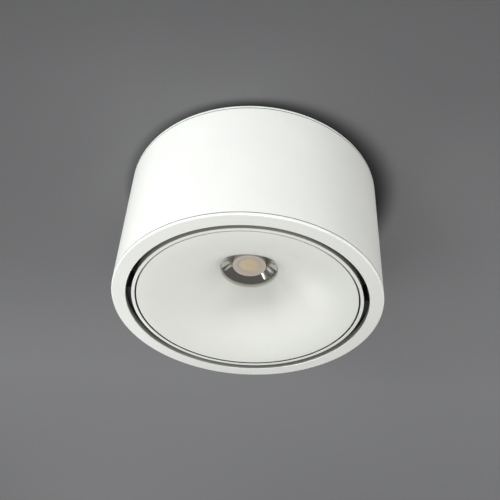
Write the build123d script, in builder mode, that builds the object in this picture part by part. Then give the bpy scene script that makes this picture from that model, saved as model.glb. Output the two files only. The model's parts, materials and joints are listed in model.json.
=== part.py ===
"""Surface mounted ceiling spotlight: a white cylinder with a gimballed, bell shaped head.

Millimetres. The origin is the centre of the face that meets the ceiling and +Z points up
into the ceiling, so the lamp hangs down to z = -height. The head tilts about X and the
gimbal ring swivels about Z.
"""
from build123d import *
from math import atan2, cos, degrees, hypot, radians, sin, sqrt, tan
import os

os.makedirs("parts", exist_ok=True)

# ---------------------------------------------------------------- driving dimensions
# Cylinder
body_d = 170.0  # outside diameter of tube, ceiling plate and bezel
height = 91.0  # ceiling to the bezel's lower face
tube_wall = 3.0
seam_groove_h = 0.3  # shadow groove that shows as a hairline at each end of the tube
seam_groove_d = 0.6
seam_chamfer = 0.15  # small bevel on the outer edge of each groove

# Ceiling plate
plate_t = 1.6
fixing_spacing = 124.0  # between the two fixing slots
fixing_slot_l = 12.0
fixing_slot_w = 5.0
entry_hole_r = 10.0
centring_h = 4.0  # short ribs that centre the tube
centring_t = 1.5
centring_arc = 50.0
centring_clear = 0.3

# Tube lugs, studs and nuts
lug_count = 3
lug_first_az = 90.0
lug_r = 6.0
lug_h = 8.0
stud_r = 2.0
stud_hole_clear = 0.25
stud_head_r = 3.5
stud_head_h = 0.8
nut_flats = 7.0
nut_h = 3.2
nut_flange_r = 4.6
nut_flange_h = 0.9
stud_tail = 1.5  # how far a stud stands out of its nut

# Bezel
bezel_face_w = 8.7  # from the tube's outside to the opening
bezel_face_t = 1.5
bezel_edge_r = 0.9
bezel_land = 0.5  # thickness of the opening's edge, in front of the glide ring's rebate
rebate_w = 1.4
spigot_h = 10.0
spigot_t = 2.0
spigot_clear = 0.1
bayonet_count = 3
bayonet_depth = 0.9
bayonet_arc = 12.0
bayonet_arc_clear = 2.0
bayonet_turn = 26.0
bayonet_z = 3.8  # lug's lower face above the bezel's face
bayonet_h = 1.5
bayonet_clear = 0.2

# Gimbal ring and what holds it in the bezel
glide_h = 3.0  # above the bezel's face plate
glide_clear = 0.2
ring_t = 2.2
ring_clear = 0.3  # radial play inside the spigot
ring_setback = 0.2  # behind the opening's edge
ring_lift = 0.1  # play above the glide ring
clip_t = 1.0
clip_groove_depth = 0.8
clip_gap_arc = 14.0
clip_play = 0.15
clip_cover = 0.6  # how far the retaining ring reaches over the gimbal ring
stop_h = 2.0
stop_tab_t = 1.2
stop_tab_arc = 4.4
stop_bite = 1.0  # how far the tooth reaches across the tab
stop_tooth_arc = 4.0
ear_t = 2.0
ear_w = 14.0
ear_gap = 0.8  # between the head's pivot face and the ear
ear_top = 18.0  # above the bezel's face
ear_corner_r = 1.0
tilt_range = 30.0

# Tilt pivot
pivot_z = 10.0  # axis above the bezel's lower face
pivot_r = 2.0
pivot_clear = 0.05
pivot_head_r = 3.0
pivot_head_h = 1.3
pivot_socket_r = 1.2
pivot_socket_d = 0.8
pivot_spare = 0.5  # the bore is this much deeper than the screw
pivot_thread_r = 1.5
thread_clear = 0.05
pivot_boss_r = 5.0
pivot_boss_l = 6.5
pivot_inset = 0.2  # boss faces inside the rim
washer_r = 4.6
limit_pin_r = 1.0
limit_pitch_r = 4.6
limit_boss_r = 2.4
limit_slot_clear = 0.15
limit_slot_spare = 2.0  # degrees of slot past the range

# Head shell
head_gap = 3.6  # between the bezel's opening and the head's rim
rim_rise = 0.9  # rim's lower edge above the bezel's face
rim_w = 2.0
draft = 7.5  # degrees
skirt_h = 16.1
shell_t = 2.0
ledge_z = 4.65  # funnel's seat above the bezel's face
ledge_w = 0.7
catch_z = 6.4
catch_h = 2.4
catch_depth = 0.9
seat_margin = 1.0  # seat beyond the heat sink
seat_bore_r = 24.0
seat_t = 2.5

# Bell shaped funnel
funnel_gap = 1.0  # shadow line between rim and funnel
funnel_rise = 1.2
bell_rim_slope = 5.0  # degrees from horizontal, at the rim
bell_mouth_slope = 52.0  # degrees from horizontal, at the small opening
mouth_r = 18.9
mouth_z = 29.1  # above the bezel's face
bell_t = 2.0
lip_rise = 1.0  # straight lip above the bell, at the small opening
funnel_wall_t = 1.5
funnel_seat_clear = 0.05
hook_count = 3
hook_arc = 7.0
hook_t = 1.0
hook_reach = 0.7
hook_h = 1.2
hook_clear = 0.2
hook_arc_clear = 2.0

# Optic
facet_count = 24
reflector_t = 1.0
reflector_mouth_r = 18.2
reflector_flange_r = 21.5
reflector_depth = 4.6
holder_r = 11.0
holder_wall = 0.5
holder_gap = 0.3
holder_lip = 0.2
holder_recess = 1.0  # holder's front behind the reflector's mouth
holder_base_r = 15.8
holder_base_t = 1.2
window_clear = 0.35
lens_clear = 0.1
lens_recess_r = 7.2
lens_recess_d = 0.8
lens_dome = 0.7
lens_rim_h = 1.5
lens_foot_r = 5.0
lens_h = 8.8
lens_flare_w = 2.0  # shape of the lens's curved side above its foot
lens_flare_h = 3.0
lens_cavity_r = 3.2
lens_cavity_d = 4.4

# Light source
board_r = 16.0
board_t = 1.6
chip_w = 5.0
chip_t = 0.7
chip_dome_r = 1.9
pad_t = 0.3
board_screw_pitch_r = 13.2
board_screw_r = 1.1
board_screw_az = 90.0
board_screw_reach = 2.8  # into the heat sink's base

# Heat sink
sink_r = 33.0
sink_base_t = 3.5
sink_fin_h = 8.7
sink_core_r = 9.0
fin_count = 24
fin_t = 1.4
fin_inset = 0.6  # fin tips inside the base's edge
sink_screw_inset = 4.0  # screw centres inside the heat sink's edge
sink_screw_r = 1.5
sink_screw_count = 3

# Lead grommet in the head's back
lead_grommet_r = 4.0
lead_grommet_flange = 1.2
lead_bore_r = 2.0
lead_inset = 18.9  # from the top of the skirt

# Driver, terminal block and earth terminal on the ceiling plate
driver_end_gap = 30.0  # from the driver's ends to the tube's bore, along x
driver_w = 38.0
driver_h = 19.0
driver_wall_gap = 6.3  # from the driver's far corners to the tube's bore
driver_tray_t = 1.5
driver_ear_l = 8.0
driver_ear_w = 12.0
driver_corner_r = 3.0
driver_screw_r = 1.5
terminal_l = 34.0
terminal_w = 18.0
terminal_h = 14.0
terminal_y = -30.0
terminal_poles = 3
terminal_wire_r = 1.8
terminal_screw_r = 1.6
terminal_slot_d = 1.5
terminal_slot_w = 0.64
terminal_screw_l = 3.5
terminal_screw_bore = 9.8
terminal_wire_z = 7.7  # wire holes below the plate
earth_x = -38.0
earth_y = -24.0
earth_screw_r = 2.0
earth_cup_r = 5.0
earth_cup_t = 1.0
entry_flange = 2.5
entry_flange_t = 1.8
entry_bore_r = 4.5

# Screw heads
head_ratio = 1.9  # head radius over shank radius
head_depth_ratio = 1.1  # head height over shank radius
slot_w_ratio = 0.5  # slot width over shank radius
slot_d_ratio = 0.8  # slot depth over head height

# Modelling
root_sink = 0.5  # how far a lug's root reaches into the wall that it stands on
overcut = 1.0  # how far a cut starts outside the wall

# ---------------------------------------------------------------- derived places
body_r = body_d / 2
tube_bore_r = body_r - tube_wall
lug_pitch_r = tube_bore_r - lug_r
bezel_open_r = body_r - bezel_face_w
rim_r = bezel_open_r - head_gap
floor_z = -height  # the bezel's lower face
plate_z = -plate_t  # the plate's lower face
spigot_r = tube_bore_r - spigot_clear
spigot_in_r = spigot_r - spigot_t
channel_z = floor_z + bezel_face_t
land_z = floor_z + bezel_land
rebate_r = bezel_open_r + rebate_w
glide_in_r = bezel_open_r + ring_setback
glide_out_r = spigot_in_r - glide_clear
glide_top = channel_z + glide_h
ring_z = glide_top + ring_lift
ring_top = ring_z + ring_t
ring_out_r = spigot_in_r - ring_clear
ring_in_r = bezel_open_r + ring_setback
clip_z = ring_top + clip_play
clip_in_r = ring_out_r - clip_cover
tab_out_r = clip_in_r - ring_clear
pivot_h = floor_z + pivot_z
pivot_face = rim_r - pivot_inset
ear_in = pivot_face + ear_gap
ear_out = ear_in + ear_t
rim_z = floor_z + rim_rise
skirt_top = rim_z + skirt_h
skirt_top_r = rim_r - skirt_h * tan(radians(draft))
rim_in_r = rim_r - rim_w
funnel_r = rim_in_r - funnel_gap
funnel_z = floor_z + funnel_rise
bell_mouth = floor_z + mouth_z
throat_top = bell_mouth + bell_t * cos(radians(bell_mouth_slope)) + lip_rise
holder_front = throat_top + holder_recess
lens_front = holder_front + holder_lip
lens_r = holder_r - holder_wall - lens_clear
lens_back = lens_front + lens_h
board_z = lens_back + holder_base_t
pad_z = board_z + board_t
sink_z = pad_z + pad_t
sink_top = sink_z + sink_base_t + sink_fin_h
sink_screw_pitch_r = sink_r - sink_screw_inset
seat_r = sink_r + seat_margin
lead_at_r = skirt_top_r - lead_inset
driver_x = tube_bore_r - driver_end_gap
driver_y = sqrt((tube_bore_r - driver_wall_gap) ** 2 - driver_x**2) - driver_w / 2


# ---------------------------------------------------------------- shared shapes
def radial_plane(azimuth):
    """The plane through the lamp's axis at one azimuth, x outwards and y upwards."""
    c, s = cos(radians(azimuth)), sin(radians(azimuth))
    return Plane(origin=(0, 0, 0), x_dir=(c, s, 0), z_dir=(s, -c, 0))


def side_plane(side, x):
    """A plane square to X that looks outwards on one side of the lamp, y upwards,
    with its origin on the tilt axis.
    """
    return Plane(origin=(side * x, 0, pivot_h), x_dir=(0, side, 0), z_dir=(side, 0, 0))


def turn(points, middle=0.0, arc=360.0, mode=Mode.ADD):
    """Revolve a closed outline of (radius, height) points about the lamp's axis."""
    start = middle - arc / 2 if arc < 360 else 0.0
    with BuildSketch(radial_plane(start)) as outline:
        with BuildLine():
            Polyline(*points, close=True)
        make_face()
    revolve(outline.sketch, Axis.Z, arc, mode=mode)


def ring_points(inner, outer, low, high):
    """The four corners of a rectangular ring section."""
    return [(inner, low), (outer, low), (outer, high), (inner, high)]


def even_azimuths(count, first=0.0):
    """Azimuths of equally spaced copies."""
    return [first + 360.0 * i / count for i in range(count)]


def pan_screw(shank_r, shank_l):
    """A slotted screw at each active location: seat at the origin, shank along +Z."""
    head_r = shank_r * head_ratio
    head_h = shank_r * head_depth_ratio
    slot_w = shank_r * slot_w_ratio
    Cylinder(head_r, head_h, align=(Align.CENTER, Align.CENTER, Align.MAX))
    Cylinder(shank_r, shank_l, align=(Align.CENTER, Align.CENTER, Align.MIN))
    with Locations((0, 0, -head_h)):
        Box(2 * head_r, slot_w, head_h * slot_d_ratio, mode=Mode.SUBTRACT)


def finish(piece, name):
    """Name a finished piece and write it."""
    piece.part.label = name
    export_step(piece.part, f"parts/{name}.step")


lug_azimuths = even_azimuths(lug_count, lug_first_az)
bayonet_azimuths = even_azimuths(bayonet_count, lug_first_az)

# ---------------------------------------------------------------- ceiling plate
# A steel disc as wide as the tube, with two fixing slots, the cable entry, countersunk
# holes for the studs and three short ribs that centre the tube.
driver_screw_x = driver_x + driver_ear_l / 2
driver_screw_places = [(-driver_screw_x, driver_y), (driver_screw_x, driver_y)]
with BuildPart() as ceiling_plate:
    with BuildSketch(Plane.XY.offset(plate_z)):
        Circle(body_r)
        Circle(entry_hole_r, mode=Mode.SUBTRACT)
        with Locations((-fixing_spacing / 2, 0), (fixing_spacing / 2, 0)):
            SlotOverall(fixing_slot_l, fixing_slot_w, mode=Mode.SUBTRACT)
        with PolarLocations(lug_pitch_r, lug_count, lug_first_az):
            Circle(stud_r, mode=Mode.SUBTRACT)
        with Locations(*driver_screw_places):
            Circle(driver_screw_r, mode=Mode.SUBTRACT)
        with Locations((earth_x, earth_y)):
            Circle(earth_screw_r, mode=Mode.SUBTRACT)
    extrude(amount=plate_t)
    with BuildSketch():
        with PolarLocations(lug_pitch_r, lug_count, lug_first_az):
            Circle(stud_head_r)
    extrude(amount=-stud_head_h, mode=Mode.SUBTRACT)
    rib_out = tube_bore_r - centring_clear
    rib = ring_points(rib_out - centring_t, rib_out, plate_z - centring_h, plate_z)
    for azimuth in lug_azimuths:
        turn(rib, azimuth + 180.0 / lug_count, centring_arc)
finish(ceiling_plate, "ceiling_plate")

# ---------------------------------------------------------------- studs and nuts
with BuildPart() as plate_studs:
    stud_end = plate_z - lug_h - nut_flange_h - nut_h - stud_tail
    with BuildSketch(Plane.XY.offset(stud_end)):
        with PolarLocations(lug_pitch_r, lug_count, lug_first_az):
            Circle(stud_r)
    extrude(amount=-stud_end)
    with BuildSketch():
        with PolarLocations(lug_pitch_r, lug_count, lug_first_az):
            Circle(stud_head_r)
    extrude(amount=-stud_head_h)
finish(plate_studs, "plate_studs")

with BuildPart() as tube_nuts:
    nut_seat = plate_z - lug_h
    with BuildSketch(Plane.XY.offset(nut_seat)):
        with PolarLocations(lug_pitch_r, lug_count, lug_first_az):
            Circle(nut_flange_r)
    extrude(amount=-nut_flange_h)
    with BuildSketch(Plane.XY.offset(nut_seat - nut_flange_h)):
        with PolarLocations(lug_pitch_r, lug_count, lug_first_az):
            RegularPolygon(nut_flats / 2, 6, major_radius=False)
    extrude(amount=-nut_h)
    with BuildSketch(Plane.XY.offset(nut_seat)):
        with PolarLocations(lug_pitch_r, lug_count, lug_first_az):
            Circle(stud_r + thread_clear)
    extrude(amount=-nut_flange_h - nut_h, mode=Mode.SUBTRACT)
finish(tube_nuts, "tube_nuts")

# ---------------------------------------------------------------- housing tube
# The tube's lugs hang on the studs. Each end has a shadow groove round its outside. Near
# the lower end, L-shaped bayonet tracks are cut in the bore for the bezel.
tube_low = channel_z
groove_r = body_r - seam_groove_d
track_low = floor_z + bayonet_z - bayonet_clear
track_high = floor_z + bayonet_z + bayonet_h + bayonet_clear
track_r = spigot_r + bayonet_depth + bayonet_clear
track_arc = bayonet_arc + bayonet_arc_clear
with BuildPart() as housing_tube:
    turn(
        [
            (tube_bore_r, tube_low),
            (groove_r, tube_low),
            (groove_r, tube_low + seam_groove_h),
            (body_r, tube_low + seam_groove_h),
            (body_r, plate_z - seam_groove_h),
            (groove_r, plate_z - seam_groove_h),
            (groove_r, plate_z),
            (tube_bore_r, plate_z),
        ]
    )
    outer_edges = housing_tube.edges().filter_by(GeomType.CIRCLE)
    chamfer(outer_edges.group_by(SortBy.RADIUS)[-1], seam_chamfer)
    with BuildSketch(Plane.XY.offset(plate_z)):
        with PolarLocations(lug_pitch_r, lug_count, lug_first_az):
            Circle(lug_r)
        for azimuth in lug_azimuths:
            root = (lug_pitch_r + tube_bore_r + tube_wall / 2) / 2
            with PolarLocations(root, 1, azimuth):
                Rectangle(tube_bore_r + tube_wall / 2 - lug_pitch_r, 2 * lug_r)
        with PolarLocations(lug_pitch_r, lug_count, lug_first_az):
            Circle(stud_r + stud_hole_clear, mode=Mode.SUBTRACT)
    extrude(amount=-lug_h)
    for azimuth in bayonet_azimuths:
        track_in_r = tube_bore_r - overcut
        entry = ring_points(track_in_r, track_r, tube_low - overcut, track_high)
        track = ring_points(track_in_r, track_r, track_low, track_high)
        turn(entry, azimuth - bayonet_turn, track_arc, mode=Mode.SUBTRACT)
        turn(track, azimuth - bayonet_turn / 2, bayonet_turn + track_arc, mode=Mode.SUBTRACT)
finish(housing_tube, "housing_tube")

# ---------------------------------------------------------------- bezel
# Flat face ring with a rounded outer edge and, behind the opening's edge, a rebate for the
# glide ring. The spigot has the bayonet lugs outside and the retaining ring's groove and
# the swivel's stop tooth inside.
clip_seat_r = spigot_in_r + clip_groove_depth
clip_high = clip_z + clip_t
spigot_top = floor_z + spigot_h
with BuildPart() as bezel_ring:
    with BuildSketch(Plane.XZ):
        with BuildLine():
            Polyline(
                (body_r - bezel_edge_r, floor_z),
                (bezel_open_r, floor_z),
                (bezel_open_r, land_z),
                (rebate_r, land_z),
                (rebate_r, channel_z),
                (spigot_in_r, channel_z),
                (spigot_in_r, spigot_top),
                (spigot_r, spigot_top),
                (spigot_r, channel_z),
                (body_r, channel_z),
            )
            edge_z = floor_z + bezel_edge_r
            Line((body_r, channel_z), (body_r, edge_z))
            edge_mid = (
                body_r - bezel_edge_r * (1 - cos(radians(45))),
                edge_z - bezel_edge_r * sin(radians(45)),
            )
            ThreePointArc((body_r, edge_z), edge_mid, (body_r - bezel_edge_r, floor_z))
        make_face()
    revolve(axis=Axis.Z)
    groove = ring_points(spigot_in_r - overcut, clip_seat_r, clip_z, clip_high)
    turn(groove, mode=Mode.SUBTRACT)
    lug = ring_points(
        spigot_r - root_sink,
        spigot_r + bayonet_depth,
        floor_z + bayonet_z,
        floor_z + bayonet_z + bayonet_h,
    )
    for azimuth in bayonet_azimuths:
        turn(lug, azimuth, bayonet_arc)
    tooth = ring_points(tab_out_r - stop_bite, spigot_r - root_sink, clip_high, clip_high + stop_h)
    turn(tooth, -90.0, stop_tooth_arc)
finish(bezel_ring, "bezel_ring")

# ---------------------------------------------------------------- glide and retaining rings
# The glide ring's foot lies in the bezel's rebate, and its wall lines the opening.
glide_foot_r = rebate_r - glide_clear
with BuildPart() as glide_ring:
    turn(
        [
            (glide_in_r, land_z),
            (glide_foot_r, land_z),
            (glide_foot_r, channel_z),
            (glide_out_r, channel_z),
            (glide_out_r, glide_top),
            (glide_in_r, glide_top),
        ]
    )
finish(glide_ring, "glide_ring")

with BuildPart() as retaining_ring:
    turn(ring_points(clip_in_r, clip_seat_r, clip_z, clip_high), 90.0, 360.0 - clip_gap_arc)
finish(retaining_ring, "retaining_ring")

# ---------------------------------------------------------------- gimbal ring
# A flat ring with two upright ears at +X and -X. Each ear has the pivot hole and a curved
# slot that limits the tilt. A tab at +Y meets the bezel's tooth near half a turn.
limit_slot_w = 2 * (limit_pin_r + limit_slot_clear)
slot_sweep = 2 * (tilt_range + limit_slot_spare)
with BuildPart() as gimbal_ring:
    turn(ring_points(ring_in_r, ring_out_r, ring_z, ring_top))
    ear_foot = (ring_in_r + ring_out_r) / 2
    for side in (-1, 1):
        with BuildSketch(Plane.XY.offset(ring_z)):
            with Locations((side * (ear_in + ear_foot) / 2, 0)):
                Rectangle(ear_foot - ear_in, ear_w)
        extrude(amount=ring_t)
        limit_path = CenterArc((0, 0), limit_pitch_r, 90 - slot_sweep / 2, slot_sweep)
        with BuildSketch(side_plane(side, ear_in)):
            with Locations((0, (ring_z + floor_z + ear_top) / 2 - pivot_h)):
                RectangleRounded(ear_w, floor_z + ear_top - ring_z, ear_corner_r)
            Circle(pivot_r + pivot_clear, mode=Mode.SUBTRACT)
            SlotArc(limit_path, limit_slot_w, mode=Mode.SUBTRACT)
        extrude(amount=ear_t)
    tab = ring_points(tab_out_r - stop_tab_t, tab_out_r, ring_z, clip_high + stop_h)
    turn(tab, 90.0, stop_tab_arc)
finish(gimbal_ring, "gimbal_ring")

# ---------------------------------------------------------------- head shell
# Cast shell: drafted skirt with the visible rim, conical back and a flat seat for the heat
# sink, with pivot bosses at +X and -X.
wall_lean = tan(radians(draft))
ledge_h = floor_z + ledge_z
catch_low = floor_z + catch_z
catch_high = catch_low + catch_h
ledge_r = rim_in_r - (ledge_h - rim_z) * wall_lean
inner_r = ledge_r - ledge_w  # skirt's bore just above the ledge
seat_low = sink_z - seat_t
back_lean = atan2(seat_low - skirt_top, skirt_top_r - seat_r)
back_slope = tan(back_lean)
inner_back_r = skirt_top_r - shell_t * sin(back_lean)
inner_back_z = skirt_top - shell_t * cos(back_lean)
inner_back = inner_back_z + (inner_back_r - inner_r - ledge_h * wall_lean) * back_slope
inner_top = inner_back / (1 - wall_lean * back_slope)
inner_top_r = inner_r - (inner_top - ledge_h) * wall_lean
with BuildPart() as head_shell:
    turn(
        [
            (rim_in_r, rim_z),
            (rim_r, rim_z),
            (skirt_top_r, skirt_top),
            (seat_r, seat_low),
            (seat_r, sink_z),
            (seat_bore_r, sink_z),
            (seat_bore_r, seat_low),
            (seat_r - shell_t / sin(back_lean), seat_low),
            (inner_top_r, inner_top),
            (inner_r, ledge_h),
            (ledge_r, ledge_h),
        ]
    )
    for side in (-1, 1):
        with BuildSketch(side_plane(side, pivot_face)):
            Circle(pivot_boss_r)
            with Locations((0, limit_pitch_r)):
                Circle(limit_boss_r)
        extrude(amount=-pivot_boss_l)
        with BuildSketch(side_plane(side, pivot_face)):
            Circle(pivot_thread_r + thread_clear)
            with Locations((0, limit_pitch_r)):
                Circle(limit_pin_r)
        extrude(amount=-pivot_boss_l, mode=Mode.SUBTRACT)
    for azimuth in even_azimuths(hook_count, lug_first_az):
        catch = ring_points(inner_r - overcut, inner_r + catch_depth, catch_low, catch_high)
        turn(catch, azimuth, hook_arc + hook_arc_clear, mode=Mode.SUBTRACT)
    with PolarLocations(sink_screw_pitch_r, sink_screw_count, 180.0 / fin_count):
        with Locations((0, 0, sink_z)):
            Cylinder(
                sink_screw_r,
                seat_t + shell_t,
                align=(Align.CENTER, Align.CENTER, Align.MAX),
                mode=Mode.SUBTRACT,
            )
    lead_z = skirt_top + (skirt_top_r - lead_at_r) * back_slope
    lead_plane = Plane(
        origin=(0, lead_at_r, lead_z),
        x_dir=(1, 0, 0),
        z_dir=(0, sin(back_lean), cos(back_lean)),
    )
    with BuildSketch(lead_plane):
        Circle(lead_grommet_r)
    extrude(amount=3 * shell_t, both=True, mode=Mode.SUBTRACT)
finish(head_shell, "head_shell")

# ---------------------------------------------------------------- funnel
# Bell curve: a parabola that leaves the rim nearly flat and meets the small opening at a
# steep slope. The back of the bell is the same curve moved out along both end normals.
def bell_curve(shift):
    """Control points of the bell's section, moved back by shift."""
    rim_tan, mouth_tan = tan(radians(bell_rim_slope)), tan(radians(bell_mouth_slope))
    rim_at = (
        funnel_r + shift * sin(radians(bell_rim_slope)),
        funnel_z + shift * cos(radians(bell_rim_slope)),
    )
    mouth_at = (
        mouth_r + shift * sin(radians(bell_mouth_slope)),
        bell_mouth + shift * cos(radians(bell_mouth_slope)),
    )
    reach = mouth_at[1] + mouth_tan * mouth_at[0] - rim_at[1] - rim_tan * rim_at[0]
    knee_r = reach / (mouth_tan - rim_tan)
    knee = (knee_r, rim_at[1] + rim_tan * (rim_at[0] - knee_r))
    return rim_at, knee, mouth_at


front, back = bell_curve(0), bell_curve(bell_t)
wall_top = floor_z + ledge_z - funnel_seat_clear
wall_root = funnel_z + bell_t / 2  # inside the bell's wall
with BuildPart() as funnel:
    with BuildSketch(Plane.XZ):
        with BuildLine():
            Bezier(*front)
            Polyline(front[2], (mouth_r, throat_top), (back[2][0], throat_top), back[2])
            Bezier(*back)
            Line(back[0], front[0])
        make_face()
    revolve(axis=Axis.Z)
    turn(ring_points(funnel_r - funnel_wall_t, funnel_r, wall_root, wall_top))
    hook_top = catch_high - hook_clear
    hook_out = inner_r - (hook_top - ledge_h) * wall_lean - hook_clear
    for azimuth in even_azimuths(hook_count, lug_first_az):
        turn(
            [
                (hook_out - hook_t, wall_root),
                (hook_out, wall_root),
                (hook_out, hook_top - hook_h),
                (hook_out + hook_reach, hook_top - hook_h),
                (hook_out, hook_top),
                (hook_out - hook_t, hook_top),
            ],
            azimuth,
            hook_arc,
        )
finish(funnel, "funnel")

# ---------------------------------------------------------------- reflector
# Faceted mirror ring between the funnel's opening and the lens holder.
reflector_in_r = holder_r + holder_gap
reflector_back = throat_top + reflector_depth


def facets(radius, z):
    """One polygon of the faceted cone."""
    with BuildSketch(Plane.XY.offset(z)) as section:
        RegularPolygon(radius, facet_count, major_radius=False)
    return section.sketch


with BuildPart() as reflector:
    with BuildSketch(Plane.XY.offset(throat_top)):
        Circle(reflector_flange_r)
    extrude(amount=reflector_t)
    loft(
        [
            facets(reflector_mouth_r + reflector_t, throat_top),
            facets(reflector_in_r + reflector_t, reflector_back),
        ]
    )
    loft(
        [
            facets(reflector_mouth_r, throat_top),
            facets(reflector_in_r, reflector_back),
        ],
        mode=Mode.SUBTRACT,
    )
finish(reflector, "reflector")

# ---------------------------------------------------------------- lens and its holder
cup_r = holder_r - holder_wall
window_r = chip_w / sqrt(2) + window_clear
with BuildPart() as lens_holder:
    turn(
        [
            (cup_r - holder_lip, holder_front),
            (holder_r, holder_front),
            (holder_r, lens_back),
            (holder_base_r, lens_back),
            (holder_base_r, board_z),
            (window_r, board_z),
            (window_r, lens_back),
            (cup_r, lens_back),
            (cup_r, lens_front),
            (cup_r - holder_lip, lens_front),
        ]
    )
    with PolarLocations(board_screw_pitch_r, 2, board_screw_az):
        with Locations((0, 0, lens_back)):
            Cylinder(
                board_screw_r + thread_clear,
                holder_base_t,
                align=(Align.CENTER, Align.CENTER, Align.MIN),
                mode=Mode.SUBTRACT,
            )
finish(lens_holder, "lens_holder")

# Collimator lens: flat rim, shallow recess with a dome in front, conical body behind and
# a pocket for the light source.
recess_z = lens_front + lens_recess_d
with BuildPart() as lens:
    with BuildSketch(Plane.XZ):
        with BuildLine():
            Polyline(
                (lens_recess_r, recess_z),
                (lens_recess_r, lens_front),
                (lens_r, lens_front),
                (lens_r, lens_front + lens_rim_h),
            )
            rim_end = (lens_r, lens_front + lens_rim_h)
            flare = (lens_foot_r + lens_flare_w, lens_back - lens_flare_h)
            Bezier(rim_end, flare, (lens_foot_r, lens_back))
            Polyline(
                (lens_foot_r, lens_back),
                (lens_cavity_r, lens_back),
                (lens_cavity_r, lens_back - lens_cavity_d),
                (0, lens_back - lens_cavity_d),
                (0, recess_z - lens_dome),
            )
            TangentArc((0, recess_z - lens_dome), (lens_recess_r, recess_z), tangent=(1, 0))
        make_face()
    revolve(axis=Axis.Z)
finish(lens, "lens")

# ---------------------------------------------------------------- light source
with BuildPart() as led_board:
    with BuildSketch(Plane.XY.offset(board_z)):
        Circle(board_r)
        with PolarLocations(board_screw_pitch_r, 2, board_screw_az):
            Circle(board_screw_r + thread_clear, mode=Mode.SUBTRACT)
    extrude(amount=board_t)
finish(led_board, "led_board")

with BuildPart() as led_chip:
    with Locations((0, 0, board_z)):
        Box(chip_w, chip_w, chip_t, align=(Align.CENTER, Align.CENTER, Align.MAX))
    with Locations((0, 0, board_z - chip_t)):
        Sphere(
            chip_dome_r,
            arc_size1=-90,
            arc_size2=0,
            align=(Align.CENTER, Align.CENTER, Align.MAX),
        )
finish(led_chip, "led_chip")

with BuildPart() as thermal_pad:
    with BuildSketch(Plane.XY.offset(pad_z)):
        Circle(board_r)
        with PolarLocations(board_screw_pitch_r, 2, board_screw_az):
            Circle(board_screw_r + thread_clear, mode=Mode.SUBTRACT)
    extrude(amount=pad_t)
finish(thermal_pad, "thermal_pad")

with BuildPart() as board_screws:
    with PolarLocations(board_screw_pitch_r, 2, board_screw_az):
        with Locations((0, 0, lens_back)):
            pan_screw(board_screw_r, sink_z + board_screw_reach - lens_back)
finish(board_screws, "board_screws")

# ---------------------------------------------------------------- heat sink
fin_in_r = sink_core_r - fin_t
fin_out_r = sink_r - fin_inset
with BuildPart() as heat_sink:
    with BuildSketch(Plane.XY.offset(sink_z)):
        Circle(sink_r)
    extrude(amount=sink_base_t)
    with BuildSketch(Plane.XY.offset(sink_z + sink_base_t)):
        Circle(sink_core_r)
        with PolarLocations((fin_in_r + fin_out_r) / 2, fin_count):
            Rectangle(fin_out_r - fin_in_r, fin_t)
    extrude(amount=sink_fin_h)
    with BuildSketch(Plane.XY.offset(sink_z)):
        with PolarLocations(sink_screw_pitch_r, sink_screw_count, 180.0 / fin_count):
            Circle(sink_screw_r + thread_clear)
    extrude(amount=sink_base_t, mode=Mode.SUBTRACT)
    with BuildSketch(Plane.XY.offset(sink_z)):
        with PolarLocations(board_screw_pitch_r, 2, board_screw_az):
            Circle(board_screw_r)
    extrude(amount=board_screw_reach, mode=Mode.SUBTRACT)
finish(heat_sink, "heat_sink")

with BuildPart() as heat_sink_screws:
    with PolarLocations(sink_screw_pitch_r, sink_screw_count, 180.0 / fin_count):
        with Locations(Location((0, 0, sink_z + sink_base_t), (180, 0, 0))):
            pan_screw(sink_screw_r, sink_base_t + seat_t)
finish(heat_sink_screws, "heat_sink_screws")

# ---------------------------------------------------------------- pivots
with BuildPart() as pivot_screws:
    for side in (-1, 1):
        with BuildSketch(side_plane(side, pivot_face - pivot_boss_l + pivot_spare)):
            Circle(pivot_thread_r)
        extrude(amount=pivot_boss_l - pivot_spare)
        with BuildSketch(side_plane(side, pivot_face)):
            Circle(pivot_r)
        extrude(amount=ear_gap + ear_t + pivot_clear)
        with BuildSketch(side_plane(side, ear_out + pivot_clear)):
            Circle(pivot_head_r)
        extrude(amount=pivot_head_h)
        with BuildSketch(side_plane(side, ear_out + pivot_clear + pivot_head_h)):
            RegularPolygon(pivot_socket_r, 6)
        extrude(amount=-pivot_socket_d, mode=Mode.SUBTRACT)
finish(pivot_screws, "pivot_screws")

with BuildPart() as friction_washers:
    for side in (-1, 1):
        with BuildSketch(side_plane(side, pivot_face + pivot_clear)):
            Circle(washer_r)
            Circle(pivot_r + pivot_clear, mode=Mode.SUBTRACT)
            with Locations((0, limit_pitch_r)):
                Circle(limit_pin_r + limit_slot_clear, mode=Mode.SUBTRACT)
        extrude(amount=ear_gap - 2 * pivot_clear)
finish(friction_washers, "friction_washers")

with BuildPart() as limit_pins:
    for side in (-1, 1):
        with BuildSketch(side_plane(side, pivot_face - pivot_boss_l / 2)):
            with Locations((0, limit_pitch_r)):
                Circle(limit_pin_r)
        extrude(amount=pivot_boss_l / 2 + ear_gap + ear_t)
finish(limit_pins, "limit_pins")

# ---------------------------------------------------------------- grommets
lead_flange_r = lead_grommet_r + lead_grommet_flange
lead_sag = lead_flange_r**2 * sin(back_lean) / (2 * lead_at_r)
lead_inside = -shell_t - 2 * lead_sag  # the shell curves into a flat flange by the sag
with BuildPart() as lead_grommet:
    for low, high, radius in (
        (lead_inside - lead_grommet_flange, lead_inside, lead_flange_r),
        (lead_inside, 0.0, lead_grommet_r),
        (0.0, lead_grommet_flange, lead_flange_r),
    ):
        with BuildSketch(lead_plane.offset(low)):
            Circle(radius)
            Circle(lead_bore_r, mode=Mode.SUBTRACT)
        extrude(amount=high - low)
finish(lead_grommet, "lead_grommet")

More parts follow.
